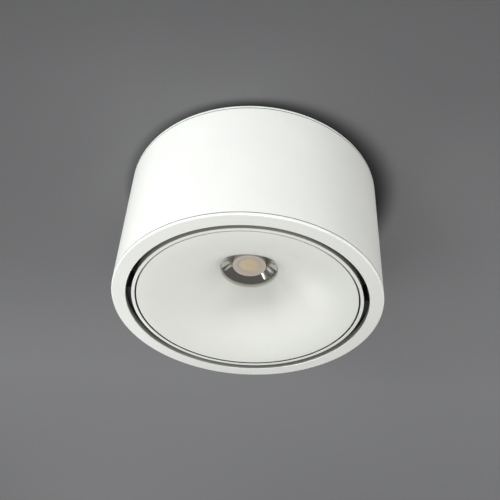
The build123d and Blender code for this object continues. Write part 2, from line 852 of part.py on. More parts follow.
with BuildPart() as entry_grommet:
    turn(
        [
            (entry_bore_r, 0.0),
            (entry_hole_r, 0.0),
            (entry_hole_r, plate_z),
            (entry_hole_r + entry_flange, plate_z),
            (entry_hole_r + entry_flange, plate_z - entry_flange_t / 2),
            (entry_hole_r, plate_z - entry_flange_t),
            (entry_bore_r, plate_z - entry_flange_t),
        ]
    )
finish(entry_grommet, "entry_grommet")

# ---------------------------------------------------------------- driver
tray_z = plate_z - driver_tray_t
with BuildPart() as driver_tray:
    with BuildSketch(Plane.XY.offset(tray_z)):
        with Locations((0, driver_y)):
            Rectangle(2 * driver_x, driver_w)
            Rectangle(2 * (driver_x + driver_ear_l), driver_ear_w)
        with Locations(*driver_screw_places):
            Circle(driver_screw_r + thread_clear, mode=Mode.SUBTRACT)
    extrude(amount=driver_tray_t)
finish(driver_tray, "driver_tray")

with BuildPart() as driver_case:
    with BuildSketch(Plane.XY.offset(tray_z)):
        with Locations((0, driver_y)):
            RectangleRounded(2 * driver_x, driver_w, driver_corner_r)
    extrude(amount=-(driver_h - driver_tray_t))
    fillet(driver_case.faces().sort_by(Axis.Z)[0].edges(), driver_corner_r / 2)
finish(driver_case, "driver_case")

with BuildPart() as driver_screws:
    with Locations(*[(x, y, tray_z) for x, y in driver_screw_places]):
        pan_screw(driver_screw_r, driver_tray_t + plate_t)
finish(driver_screws, "driver_screws")

# ---------------------------------------------------------------- terminal block
pole_pitch = terminal_l / terminal_poles
terminal_low = plate_z - terminal_h
with BuildPart() as terminal_block:
    with BuildSketch(Plane.XY.offset(plate_z)):
        with Locations((0, terminal_y)):
            Rectangle(terminal_l, terminal_w)
    extrude(amount=-terminal_h)
    with Locations((0, terminal_y, terminal_low)):
        with GridLocations(pole_pitch, 1, terminal_poles, 1):
            Cylinder(
                terminal_screw_r,
                terminal_screw_bore,
                align=(Align.CENTER, Align.CENTER, Align.MIN),
                mode=Mode.SUBTRACT,
            )
    with BuildSketch(Plane.XZ.offset(-terminal_y + terminal_w / 2)):
        with Locations((0, plate_z - terminal_wire_z)):
            with GridLocations(pole_pitch, 1, terminal_poles, 1):
                Circle(terminal_wire_r)
    extrude(amount=-terminal_w, mode=Mode.SUBTRACT)
finish(terminal_block, "terminal_block")

with BuildPart() as terminal_screws:
    with Locations((0, terminal_y, terminal_low + terminal_slot_d / 2)):
        with GridLocations(pole_pitch, 1, terminal_poles, 1):
            Cylinder(
                terminal_screw_r - thread_clear,
                terminal_screw_l,
                align=(Align.CENTER, Align.CENTER, Align.MIN),
            )
            Box(
                2 * terminal_screw_r,
                terminal_slot_w,
                terminal_slot_d,
                mode=Mode.SUBTRACT,
            )
finish(terminal_screws, "terminal_screws")

# ---------------------------------------------------------------- earth terminal
with BuildPart() as earth_cup:
    with BuildSketch(Plane.XY.offset(plate_z)):
        with Locations((earth_x, earth_y)):
            Circle(earth_cup_r)
            Circle(earth_screw_r + thread_clear, mode=Mode.SUBTRACT)
    extrude(amount=-earth_cup_t)
finish(earth_cup, "earth_cup")

with BuildPart() as earth_screw:
    with Locations((earth_x, earth_y, plate_z - earth_cup_t)):
        pan_screw(earth_screw_r, earth_cup_t + plate_t)
finish(earth_screw, "earth_screw")

print("head's largest swing about the tilt axis:", round(hypot(rim_r, pivot_z - rim_rise), 2))
print("heat sink's swing:", round(sqrt((sink_top - pivot_h) ** 2 + sink_r**2), 2))
print("back lean:", round(degrees(back_lean), 1))
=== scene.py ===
# %% [markdown]
# # A surface mounted ceiling spotlight
#
# The lamp is a white metal cylinder on a ceiling. A flat bezel closes it below, and inside
# the bezel hangs a head: a narrow white rim, a bell shaped funnel and, deep in the middle,
# a small faceted reflector with a lens. The head tilts and swivels.
#
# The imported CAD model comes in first, as a fixed frame. Its parts are already in the right
# places, in metres, with the ceiling at z = 0 and +Z pointing up into it. This lesson adds
# the stage, the light, the finishes, and finer meshes where the eye comes close.

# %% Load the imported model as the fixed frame
import json
from math import cos, pi, radians, sin, tan

import bmesh
import bpy
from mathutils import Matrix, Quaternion, Vector


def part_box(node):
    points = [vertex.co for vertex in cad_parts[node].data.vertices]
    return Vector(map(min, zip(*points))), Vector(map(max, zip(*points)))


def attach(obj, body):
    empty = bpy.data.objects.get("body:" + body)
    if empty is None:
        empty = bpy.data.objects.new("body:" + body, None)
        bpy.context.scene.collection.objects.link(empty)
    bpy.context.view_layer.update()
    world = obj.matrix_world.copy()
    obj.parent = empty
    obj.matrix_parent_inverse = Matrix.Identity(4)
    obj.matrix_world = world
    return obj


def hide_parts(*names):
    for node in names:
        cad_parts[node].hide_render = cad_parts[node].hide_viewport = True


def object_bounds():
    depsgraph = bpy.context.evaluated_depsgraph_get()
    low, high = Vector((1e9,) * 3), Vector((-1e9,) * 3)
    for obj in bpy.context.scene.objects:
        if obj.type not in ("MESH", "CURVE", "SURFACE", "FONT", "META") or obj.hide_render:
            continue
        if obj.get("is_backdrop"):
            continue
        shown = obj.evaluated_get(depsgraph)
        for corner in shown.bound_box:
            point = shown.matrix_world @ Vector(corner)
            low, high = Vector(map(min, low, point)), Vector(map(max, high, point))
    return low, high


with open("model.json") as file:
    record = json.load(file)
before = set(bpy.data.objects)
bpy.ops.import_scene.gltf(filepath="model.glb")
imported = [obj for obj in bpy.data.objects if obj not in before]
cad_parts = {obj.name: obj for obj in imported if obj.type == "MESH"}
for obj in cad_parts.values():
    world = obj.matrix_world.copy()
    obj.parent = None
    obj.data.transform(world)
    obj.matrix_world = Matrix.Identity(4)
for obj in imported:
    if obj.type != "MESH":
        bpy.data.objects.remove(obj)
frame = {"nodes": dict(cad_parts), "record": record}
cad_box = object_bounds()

MM = 0.001
scene = bpy.context.scene
bezel_z = cad_box[0][2]  # the bezel's face, the lamp's lowest plane
print("bezel face at", round(bezel_z / MM, 2), "mm")

# %% [markdown]
# ## The room
#
# A lamp on a ceiling needs a ceiling, for its soft contact shadow. One flat ring does it:
# the hole in the middle is a little smaller than the lamp, so light from above still
# reaches the lamp's back when it is looked at from above. Seen from behind, the ring lets
# everything through. A solid slab would hide the lamp in every view from above.

# %% The ceiling
lamp_r = 85 * MM
hole_r, ceiling_r = lamp_r - 1 * MM, 5.0
ceiling_gap = 0.2 * MM  # keeps the ring clear of the plate's upper face


def add_object(name, data):
    """Put a mesh, light or camera in the scene as an object at the origin."""
    made = bpy.data.objects.new(name, data)
    scene.collection.objects.link(made)
    return made


def flat_ring(name, inner, outer, z, turns=96):
    """A flat ring that faces down."""
    around = [2 * pi * i / turns for i in range(turns)]
    points = [(r * cos(a), r * sin(a), z) for r in (inner, outer) for a in around]
    pairs = [(i, (i + 1) % turns) for i in range(turns)]
    mesh = bpy.data.meshes.new(name)
    mesh.from_pydata(points, [], [(i, j, turns + j, turns + i) for i, j in pairs])
    return add_object(name, mesh)


ceiling = flat_ring("ceiling", hole_r, ceiling_r, ceiling_gap)
ceiling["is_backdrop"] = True
print("ceiling faces", tuple(round(x) for x in ceiling.data.polygons[0].normal))

# %% [markdown]
# ### Small tools for node materials
#
# The paints below are all made from the same few nodes, so short helpers place them. A
# colour is written as it looks on a screen and turned into the linear light that the
# renderer counts in. `far_from_axis` gives a point's distance from the lamp's axis and
# `height` its place along it. With those two, a paint can change where the real one does.

# %% Helpers for materials


def linear(colour):
    """Screen colour (0 to 1) to the scene's linear colour, with alpha."""
    return tuple(c / 12.92 if c <= 0.04045 else ((c + 0.055) / 1.055) ** 2.4 for c in colour) + (1,)


def feed(tree, node, inputs):
    """Give each input of a node a plain value, or the socket that feeds it."""
    for label, source in inputs.items():
        if isinstance(source, bpy.types.NodeSocket):
            tree.links.new(source, node.inputs[label])
        else:
            node.inputs[label].default_value = source


def add_node(tree, kind, inputs=None, **options):
    """Add a node with its options and inputs."""
    node = tree.nodes.new(kind)
    for option, choice in options.items():
        setattr(node, option, choice)
    feed(tree, node, inputs or {})
    return node


def work_out(tree, operation, first, second=0.0):
    """One sum, as a node. Gives its output socket."""
    kind = "ShaderNodeMath"
    return add_node(tree, kind, {0: first, 1: second}, operation=operation).outputs[0]


def times(tree, first, second):
    """A product, as a node."""
    return work_out(tree, "MULTIPLY", first, second)


def vector(tree, **parts):
    """A vector from its X, Y and Z, each a number or a socket. One left out is 0."""
    return add_node(tree, "ShaderNodeCombineXYZ", parts).outputs[0]


def new_material(name):
    """A material with its node tree and its shader."""
    made = bpy.data.materials.new(name)
    made.use_nodes = True
    return made, made.node_tree, made.node_tree.nodes["Principled BSDF"]


def own_place(tree):
    """A point's place in the coordinates of its own object, in metres."""
    return add_node(tree, "ShaderNodeTexCoord").outputs["Object"]


def far_from_axis(tree):
    """Distance from the lamp's axis, in metres."""
    level = {0: own_place(tree), 1: (1, 1, 0)}
    level = add_node(tree, "ShaderNodeVectorMath", level, operation="MULTIPLY").outputs[0]
    length = add_node(tree, "ShaderNodeVectorMath", {0: level}, operation="LENGTH")
    return length.outputs["Value"]


def height(tree):
    """Height, in metres. The ceiling is 0."""
    return add_node(tree, "ShaderNodeSeparateXYZ", {0: own_place(tree)}).outputs["Z"]


def ramp(tree, value, low, high, at_low=0.0, at_high=1.0, smooth=False):
    """Go from one amount to another while a value goes from low to high."""
    limits = {"From Min": low, "From Max": high, "To Min": at_low, "To Max": at_high}
    kind = "SMOOTHSTEP" if smooth else "LINEAR"
    node = add_node(tree, "ShaderNodeMapRange", {"Value": value, **limits}, interpolation_type=kind)
    return node.outputs["Result"]


def noise(tree, place, size, detail):
    """Soft noise with blotches of about this size, in metres."""
    sockets = {"Vector": place, "Scale": 1 / size, "Detail": detail}
    return add_node(tree, "ShaderNodeTexNoise", sockets).outputs["Fac"]


def raise_grain(tree, shader, grain, depth):
    """Give a shader the relief of a noise, this deep in metres."""
    bump = add_node(tree, "ShaderNodeBump", {"Height": grain, "Distance": depth})
    feed(tree, shader, {"Normal": bump.outputs["Normal"]})


def mix_colour(tree, factor, first, second):
    """Mix two colours. Each is a socket or a linear colour."""
    sockets = {0: factor, 6: first, 7: second}  # inputs 6 and 7 are the pair for colours
    return add_node(tree, "ShaderNodeMix", sockets, data_type="RGBA").outputs[2]


def switch(tree, factor, first, second, output):
    """Show the first shader where the factor is 0, and the second where it is 1."""
    mixed = add_node(tree, "ShaderNodeMixShader", {"Fac": factor, 1: first, 2: second})
    tree.links.new(mixed.outputs[0], tree.nodes[output].inputs["Surface"])


# %% [markdown]
# ### Ceiling paint
#
# A plain matt grey, with light and shade painted into it. It is painted paler behind the lamp
# and on its right, a painted light falloff. Against the lamp it is darker in a soft band, a
# painted shadow round the lamp; the band is wider on the right, which is the shaded side, and
# fainter on the left. Geometry's Backfacing tells the ring's two sides apart: the room side
# is paint and the other side is see-through.

# %% Ceiling paint
tone_near, tone_far, shadow_tone = 0.125, 0.275, 0.022  # greys, counted as linear light
near_y, far_y = -0.2, 0.25
side_x, side_tone = 0.4, 0.046  # the tone gains this on the right and loses it on the left
blue_share = 1.03
band, band_right = 8 * MM, 19 * MM
shadow_strength, shadow_strength_left = 0.95, 0.45
plaster_grain, plaster_relief = MM / 0.9, 0.02 * MM

paint, tree, paint_shader = new_material("ceiling_paint")
place = own_place(tree)
away = add_node(tree, "ShaderNodeSeparateXYZ", {0: place}).outputs
# Painted light falloff: the grey is painted paler towards the back and on the right.
tone = ramp(tree, away["Y"], near_y, far_y, tone_near, tone_far)
painted_side_light = ramp(tree, away["X"], -side_x, side_x, -side_tone, side_tone)
tone = work_out(tree, "ADD", tone, painted_side_light)
painted_falloff_grey = vector(tree, X=tone, Y=tone, Z=times(tree, tone, blue_share))
# Painted shadow: a soft dark band on the ceiling round the lamp, wider and stronger on the right.
reach = ramp(tree, away["X"], 0.0, lamp_r, lamp_r + band, lamp_r + band_right)
painted_contact_shadow = ramp(tree, far_from_axis(tree), lamp_r, reach, 1.0, 0.0, smooth=True)
strength = ramp(tree, away["X"], -lamp_r, 0.0, shadow_strength_left, shadow_strength)
painted_shadow_grey = (shadow_tone, shadow_tone, shadow_tone, 1)
grey = mix_colour(tree, times(tree, painted_contact_shadow, strength), painted_falloff_grey, painted_shadow_grey)
feed(tree, paint_shader, {"Base Color": grey, "Roughness": 0.9, "Specular IOR Level": 0.2})
raise_grain(tree, paint_shader, noise(tree, place, plaster_grain, 3), plaster_relief)
see_through = add_node(tree, "ShaderNodeBsdfTransparent").outputs[0]
behind = add_node(tree, "ShaderNodeNewGeometry").outputs["Backfacing"]
switch(tree, behind, paint_shader.outputs[0], see_through, "Material Output")
ceiling.data.materials.append(paint)
print("ceiling paint has", len(tree.nodes), "nodes")

# %% [markdown]
# ## The light
#
# Plain soft studio light: brightest on the left of the tube, fading softly round its right
# side. Two panels stand level with the tube, where they light its wall but hardly the faces
# that look down; their light fans out less, as through a grid, so that the ceiling beside
# them stays plain. Weaker ones below the lamp light the bezel and the funnel. A pale world
# gives the even part. The world's colour for the camera, for reflections and for what shows
# through the lens is set apart from its strength as a light, so the background never has
# to be overlit.

# %% The room's own light
world_light, world_tint = 0.26, (0.98, 0.99, 1.0)
backdrop_tone = (0.375, 0.37, 0.36)
world = bpy.data.worlds.new("room")
scene.world = world
world.use_nodes = True
tree = world.node_tree
soft, seen = tree.nodes["Background"], tree.nodes.new("ShaderNodeBackground")
for node, colour, power in ((soft, world_tint, world_light), (seen, backdrop_tone, 1.0)):
    feed(tree, node, {"Color": linear(colour), "Strength": power})
rays = add_node(tree, "ShaderNodeLightPath").outputs
looks = work_out(tree, "MAXIMUM", rays["Is Camera Ray"], rays["Is Glossy Ray"])
looks = work_out(tree, "MAXIMUM", looks, rays["Is Transmission Ray"])
switch(tree, looks, soft.outputs[0], seen.outputs[0], "World Output")
print("world:", world_light, "as a light and", backdrop_tone, "to the eye")

# %% [markdown]
# The panels carry most of the light. Their places are in metres from the middle of the
# ceiling plate, and each turns its face to the lamp. The gleams are there to be mirrored in
# the reflector; the ones below the lamp are not, since they would show as spots in it.

# %% Panels
lamp_middle = Vector((0, 0, -0.05))
room_light, window_light = (1.0, 0.992, 0.975), (0.975, 0.99, 1.0)


def soft_panel(name, place, size, watts, gleams=True, fan=180, colour=room_light):
    """A square soft light that points at the lamp.

    gleams says if it shows in reflections, and fan is the angle its light spreads over.
    """
    data = bpy.data.lights.new(name, "AREA")
    data.shape = "SQUARE"
    data.size = size
    data.energy = watts
    data.spread = radians(fan)
    data.color = colour
    light = add_object(name, data)
    light.location = place
    light.rotation_mode = "QUATERNION"
    light.rotation_quaternion = (lamp_middle - Vector(place)).to_track_quat("-Z", "Y")
    light.visible_camera = False
    light.visible_glossy = gleams


window = dict(fan=70, colour=window_light)
soft_panel("left_window", (-1.0, -1.0, -0.10), size=0.6, watts=3.3, **window)
soft_panel("front_window", (-0.5, -1.35, -0.10), size=0.5, watts=1.15, **window)
soft_panel("right_fill", (1.3, -0.3, -0.4), size=0.9, watts=11.0)
soft_panel("far_fill", (0, 1.2, -0.8), size=0.9, watts=0.5)
soft_panel("far_gleam", (-0.30, 0.75, -0.40), size=0.3, watts=0.9)
soft_panel("left_gleam", (-0.6, 0.15, -0.25), size=0.3, watts=0.75)
soft_panel("facet_gleam", (-0.36, 0.09, -0.40), size=0.12, watts=0.10)
soft_panel("below_left", (-0.12, -0.1, -0.42), size=0.15, watts=0.22, gleams=False)
soft_panel("below_near", (-0.2, -0.25, -0.32), size=0.15, watts=0.10, gleams=False)
soft_panel("below_front", (0, -0.25, -0.5), size=0.2, watts=0.34, gleams=False)
print("panels:", len(bpy.data.lights))

# %% [markdown]
# ## The camera
#
# The camera stands in front of the lamp and below it, and looks up at it. Its place, aim,
# tilt and lens were measured from the ellipses of the lamp's round edges in the picture,
# which is 500 by 500 pixels.

# %% Camera at the photograph's viewpoint
eye = Vector((0, -0.369699, -0.353004))
aim = Vector((-0.000181, -0.021569, -0.062955))
roll = radians(3.409)
focal_px, picture_px, sensor = 719.8, 500, 36.0

camera_data = bpy.data.cameras.new("camera")
camera_data.sensor_width = sensor
camera_data.lens = sensor * focal_px / picture_px
camera_data.clip_start = 0.01
camera = add_object("camera", camera_data)
camera.rotation_mode = "QUATERNION"
camera.location = eye
camera.rotation_quaternion = (aim - eye).to_track_quat("-Z", "Y") @ Quaternion((0, 0, 1), roll)
scene.camera = camera
scene.view_settings.view_transform = "Standard"
print("lens", round(camera_data.lens, 2), "mm")

# %% [markdown]
# ## Finishes
#
# Every finish here is a Principled shader with two layers of noise on Object coordinates:
# a broad one that shifts the colour and the gloss a little, as real paint and metal do,
# and a fine one for the grain you feel with a fingertip. A third, sparse one sets specks of
# dust or pores. Sizes are in millimetres of the real surface.

# %% The recipe
broad_size, speck_size = 25 * MM, 1.4 * MM
noise_low, noise_high = 0.3, 0.7  # a noise stays almost wholly between these
speck_low, speck_high = 0.74, 0.80  # and only specks are as high as these
smoothest = 0.02


def finish(name, colour, gloss, grain, relief, shift=0.02, gloss_shift=0.05, metal=0.0,
           stretch=(1, 1, 1), specks=0.0):
    """A node material: colour with its slow shift and specks, roughness and fine grain.

    grain is the grain's size and relief its height, both in millimetres. specks is how
    much darker a speck is than the ground.
    """
    made, tree, shader = new_material(name)
    place = own_place(tree)
    drawn_out = {"Vector": place, "Scale": stretch}
    drawn_out = add_node(tree, "ShaderNodeMapping", drawn_out).outputs["Vector"]

    broad = noise(tree, drawn_out, broad_size, 3)
    tint = add_node(tree, "ShaderNodeValToRGB", {"Fac": broad})
    stops = zip(tint.color_ramp.elements, (noise_low, noise_high), (1 - shift, 1 + shift))
    for stop, at, share in stops:
        stop.position = at
        stop.color = linear([min(1, c * share) for c in colour])
    skin = tint.outputs["Color"]
    if specks:
        spot = ramp(tree, noise(tree, place, speck_size, 1), speck_low, speck_high)
        skin = mix_colour(tree, spot, skin, linear([c * (1 - specks) for c in colour]))

    fine = noise(tree, drawn_out, grain * MM, 2)
    glossiest = max(smoothest, gloss - gloss_shift)
    polish = ramp(tree, fine, noise_low, noise_high, glossiest, gloss + gloss_shift)
    feed(tree, shader, {"Base Color": skin, "Metallic": metal, "Roughness": polish})
    raise_grain(tree, shader, fine, relief * MM)
    return made


def paint_over(made, mask_of, colour):
    """Change a finish's colour where a mask is 1. mask_of is given the node tree."""
    tree = made.node_tree
    base = tree.nodes["Principled BSDF"].inputs["Base Color"]
    under = base.links[0].from_socket
    tree.links.new(mix_colour(tree, mask_of(tree), under, linear(colour)), base)


def between(tree, value, low, high, edge=0.05 * MM):
    """1 between two limits and 0 outside them, with a soft edge."""
    after = ramp(tree, value, low - edge, low)
    before = ramp(tree, value, high, high + edge, 1.0, 0.0)
    return times(tree, after, before)


# %% [markdown]
# ### White finishes
#
# Tube, bezel, plate and head shell have a fine white powder coat: nearly matt, with the
# faint orange peel that powder leaves as it melts. The tube's coat is painted dark inside its
# two seam grooves, a painted shade there, and the plate's face in the upper groove is painted
# grey, also painted shade. The head shell's rim is white; its side is painted a little
# greyer and the slot round the funnel dark, painted shade in the gap round the head. Each is
# the same recipe with a second colour laid over it by height and by distance from the axis.
# The funnel is matt moulded plastic, a touch warmer, with a finer grain from its mould.

# %% White finishes
finishes = {}
powder = dict(gloss=0.34, grain=0.9, relief=0.008, shift=0.006, specks=0.05)
white = (0.93, 0.935, 0.915)
finishes["white_paint"] = finish("white_powder_coat", white, **powder)
coated = ("tube_powder_coat", "shell_powder_coat", "plate_powder_coat")
tube_coat, shell_coat, plate_coat = [finish(name, white, **powder) for name in coated]

face_thickness, plate_thickness, groove_height = 1.5 * MM, 1.6 * MM, 0.3 * MM
overlap = 1.0 * MM  # a groove's mask starts this far inside the part beside it
shade_lip, wall_skin, wall_fade = 0.12 * MM, 0.03 * MM, 0.01 * MM
rim_white, rim_fade = 1.15 * MM, 0.15 * MM
slot_foot, slot_r, plate_bed_r, mask_edge = 1.0 * MM, 70.75 * MM, 84.3 * MM, 0.1 * MM
plate_skin = 0.02 * MM


def tube_groove_shade(tree):
    """Painted shade inside the grooves at the tube's two ends, and faintly on their lips."""
    foot, top = bezel_z + face_thickness, -plate_thickness
    low = between(tree, height(tree), foot - overlap, foot + groove_height + shade_lip)
    high = between(tree, height(tree), top - groove_height, top + overlap)
    wall = far_from_axis(tree)
    inside = ramp(tree, wall, lamp_r - wall_skin, lamp_r + wall_fade, 1.0, 0.0)
    return times(tree, work_out(tree, "MAXIMUM", low, high), inside)


def shaded_shell_side(tree):
    """Painted shade: everything of the head shell above its white rim."""
    return ramp(tree, height(tree), bezel_z + rim_white, bezel_z + rim_white + rim_fade)


def slot_shade(tree):
    """Painted shade in the slot between the rim and the funnel."""
    foot = bezel_z + slot_foot
    above = ramp(tree, height(tree), foot, foot + mask_edge)
    return times(tree, above, ramp(tree, far_from_axis(tree), slot_r, slot_r + mask_edge, 1.0, 0.0))


def plate_groove_shade(tree):
    """Painted shade on the ring of the plate's lower face that the upper groove leaves open."""
    face = plate_skin - plate_thickness
    under = ramp(tree, height(tree), face, face + plate_skin, 1.0, 0.0)
    outer = ramp(tree, far_from_axis(tree), plate_bed_r, plate_bed_r + mask_edge)
    return times(tree, under, outer)


# Painted shade: the tube's coat is painted dark inside its seam grooves.
paint_over(tube_coat, tube_groove_shade, (0.07, 0.07, 0.07))
# Painted shade: the head shell's side is painted a little greyer than its rim.
paint_over(shell_coat, shaded_shell_side, (0.85, 0.85, 0.82))
# Painted shade: the slot round the funnel is painted dark.
paint_over(shell_coat, slot_shade, (0.25, 0.25, 0.25))
# Painted shade: the plate's face inside the upper groove is painted grey.
paint_over(plate_coat, plate_groove_shade, (0.35, 0.35, 0.34))
moulded = dict(gloss=0.40, grain=0.5, relief=0.004, shift=0.005, specks=0.03)
finishes["white_plastic"] = finish("white_moulded_funnel", (0.925, 0.93, 0.905), **moulded)
print("white finishes:", [m.name for m in bpy.data.materials if "powder" in m.name])

# %% [markdown]
# ### Optic finishes
#
# Metallised mirror on the facets, a pale glossy holder, and a lens of frosted resin. The
# yellow glow of the light source behind the lens is painted into the lens's colour, a
# painted glow: it goes from a cool beige at the rim to yellow in the middle, where the lens
# is thickest. A ramp on the distance from the axis does that; it stays on the lens when the
# head tilts, because the coordinates are the lens's own.

# %% Optic finishes
mirror_look = dict(gloss=0.13, grain=1.5, relief=0.003, shift=0.01, gloss_shift=0.03, metal=1.0)
finishes["mirror_coat"] = finish("mirror_coat", (0.87, 0.86, 0.845), **mirror_look)
holder_look = dict(gloss=0.22, grain=0.7, relief=0.003, shift=0.01)
finishes["holder_plastic"] = finish("pale_holder", (0.84, 0.82, 0.79), **holder_look)

lens_tone_r = 10.4 * MM
lens_tones = [  # share of that radius, and the colour there
    (0.00, (0.99, 0.90, 0.66)),
    (0.20, (0.98, 0.89, 0.70)),
    (0.40, (0.97, 0.90, 0.79)),
    (0.66, (0.93, 0.87, 0.80)),
    (0.74, (0.90, 0.84, 0.78)),
    (1.00, (0.94, 0.88, 0.82)),
]
frost_size, frost_relief, frost_low, frost_high = 0.35 * MM, 0.003 * MM, 0.16, 0.26
lens_look = {"Transmission Weight": 0.18, "IOR": 1.49, "Coat Weight": 0.4, "Coat Roughness": 0.08}

lens_resin, tree, lens_shader = new_material("lens_resin")
finishes["clear_lens"] = lens_resin
# Painted glow: the colour ramps from yellow on the axis to beige at the rim.
outward = ramp(tree, far_from_axis(tree), 0.0, lens_tone_r)
painted_glow = add_node(tree, "ShaderNodeValToRGB", {"Fac": outward})
while len(painted_glow.color_ramp.elements) < len(lens_tones):
    painted_glow.color_ramp.elements.new(0.5)
for stop, (at, tone) in zip(painted_glow.color_ramp.elements, lens_tones):
    stop.position = at
    stop.color = linear(tone)
frost = noise(tree, own_place(tree), frost_size, 2)
dull = ramp(tree, frost, noise_low, noise_high, frost_low, frost_high)
feed(tree, lens_shader, {"Base Color": painted_glow.outputs[0], "Roughness": dull, **lens_look})
raise_grain(tree, lens_shader, frost, frost_relief)
print("lens colours:", len(painted_glow.color_ramp.elements))

# %% [markdown]
# ### Inner finishes
#
# Plated steel is turned or rolled, so its grain is drawn out into fine lines; cast
# aluminium has an even, sandy skin with pores; black steel and rubber are dark so that the
# gap round the head stays dark at its sides. The glide ring is a mid grey, which is what
# shows at the far side of the gap.

# %% Inner finishes
turned_lines = dict(metal=1.0, stretch=(1, 1, 0.15))
inner = [  # material slot, name, colour, gloss, grain, relief, and what the recipe is told
    ("phosphor", "phosphor_gel", (0.93, 0.76, 0.30), 0.45, 0.2, 0.01, dict(shift=0.03)),
    ("board_white", "white_solder_mask", (0.88, 0.88, 0.86), 0.30, 0.6, 0.004, dict(shift=0.01)),
    ("pad_grey", "soft_grey_pad", (0.50, 0.52, 0.53), 0.85, 0.3, 0.02, dict(shift=0.04)),
    ("steel", "zinc_plated_steel", (0.74, 0.75, 0.76), 0.32, 0.35, 0.006,
     dict(shift=0.03, gloss_shift=0.08, **turned_lines)),
    ("bare_aluminium", "die_cast_aluminium", (0.78, 0.79, 0.80), 0.48, 0.35, 0.02,
     dict(shift=0.03, gloss_shift=0.08, metal=1.0, specks=0.25)),
    ("dark_zinc", "black_passivated_steel", (0.16, 0.165, 0.175), 0.45, 0.5, 0.008,
     dict(shift=0.08, gloss_shift=0.08)),
    ("brass", "plain_brass", (0.83, 0.68, 0.40), 0.30, 0.4, 0.005,
     dict(shift=0.04, gloss_shift=0.06, **turned_lines)),
    ("glide_plastic", "grey_glide_plastic", (0.57, 0.57, 0.55), 0.50, 0.4, 0.006, dict(shift=0.05)),
    ("driver_plastic", "driver_casing", (0.85, 0.85, 0.84), 0.55, 0.8, 0.02, dict(specks=0.05)),
    ("terminal_plastic", "terminal_grey", (0.72, 0.73, 0.74), 0.50, 0.6, 0.015, {}),
    ("black_rubber", "black_rubber", (0.09, 0.09, 0.095), 0.70, 0.3, 0.015,
     dict(shift=0.08, specks=0.3)),
]
for slot, name, colour, gloss, grain, relief, extras in inner:
    finishes[slot] = finish(name, colour, gloss, grain, relief, **extras)
print("inner finishes:", len(inner))

# %% [markdown]
# The CAD file says which material each part has. Three parts have a coat of their own.

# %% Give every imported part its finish
slot_of = {part["node"]: part["material_slot"] for part in frame["record"]["subparts"]}
own_coat = {"housing_tube": tube_coat, "head_shell": shell_coat, "ceiling_plate": plate_coat}
for node, part in frame["nodes"].items():
    for place in part.material_slots:
        place.material = own_coat.get(node, finishes[slot_of[node]])
print("finishes:", len(finishes), "and", len(own_coat), "coats of their own")

# %% [markdown]
# ## Pieces that follow a rule
#
# The turned, repeated and faceted pieces are made by Geometry Nodes: a small tree is built
# here in the script, its sizes are its named inputs, and its result is baked to a plain
# mesh. The CAD solids stay underneath as the truth for sizes; the new pieces add what a
# solid for engineering leaves out, such as rounded edges, threads and crowned facets.
#
# Heights below are written as the CAD file writes them: in millimetres, up from the bezel's
# face. A turned piece is an outline swept round a circle. The sweep's circle can't have a
# radius of 0, so the outline is drawn that much to the left of its place.

# %% Helpers for Geometry Nodes
body_of = {n: body for body, nodes in frame["record"]["behaviour"]["bodies"].items() for n in nodes}
turns = 192


def new_tree(name, **kinds):
    """A node tree with these named inputs and a Finish. Gives the tree and its inputs."""
    tree = bpy.data.node_groups.new(name, "GeometryNodeTree")
    tree.is_modifier = True
    for label, kind in (*kinds.items(), ("Finish", "Material")):
        tree.interface.new_socket(label, in_out="INPUT", socket_type="NodeSocket" + kind)
    tree.interface.new_socket("Result", in_out="OUTPUT", socket_type="NodeSocketGeometry")
    return tree, tree.nodes.new("NodeGroupInput").outputs


def join(tree, parts):
    """Curves or meshes as one geometry."""
    node = tree.nodes.new("GeometryNodeJoinGeometry")
    for part in parts:
        tree.links.new(part, node.inputs[0])
    return node.outputs[0]


def object_of(tree, socket):
    """The geometry of the object that an input names."""
    return add_node(tree, "GeometryNodeObjectInfo", {"Object": socket}).outputs["Geometry"]


def weld_points(tree, mesh, distance):
    """Merge points that fall together."""
    sockets = {"Geometry": mesh, "Distance": distance}
    return add_node(tree, "GeometryNodeMergeByDistance", sockets).outputs[0]


def move_up(tree, mesh, by):
    """Move a mesh along Z."""
    sockets = {"Geometry": mesh, "Translation": vector(tree, Z=by)}
    return add_node(tree, "GeometryNodeTransform", sockets).outputs[0]


def copies_on(tree, points, mesh, **more):
    """A copy of a mesh on each point. Other sockets, such as Rotation, can be given too."""
    sockets = {"Points": points, "Instance": mesh, **more}
    return add_node(tree, "GeometryNodeInstanceOnPoints", sockets).outputs[0]


def end_tree(tree, mesh, sizes, weld=0.0005 * MM):
    """Make instances real, weld, set the material: the same end for every tree."""
    real = add_node(tree, "GeometryNodeRealizeInstances", {0: mesh}).outputs[0]
    sockets = {"Geometry": weld_points(tree, real, weld), "Material": sizes["Finish"]}
    painted = add_node(tree, "GeometryNodeSetMaterial", sockets).outputs[0]
    add_node(tree, "NodeGroupOutput", {"Result": painted})
    print(tree.name, "has", len(tree.nodes), "nodes")


def grow(name, kind, slot, **sizes):
    """Run a tree with a finish and these sizes, and keep the result as a plain mesh."""
    tree, sizes["Finish"] = bpy.data.node_groups[kind], finishes[slot]
    maker = add_object(name, bpy.data.meshes.new(name))
    modifier = maker.modifiers.new(tree.name, "NODES")
    modifier.node_group = tree
    for item in tree.interface.items_tree:
        if item.item_type == "SOCKET" and item.in_out == "INPUT":
            modifier[item.identifier] = sizes[item.name]
    graph = bpy.context.evaluated_depsgraph_get()
    mesh = bpy.data.meshes.new_from_object(maker.evaluated_get(graph))
    maker.modifiers.clear()
    maker.data = mesh
    return maker


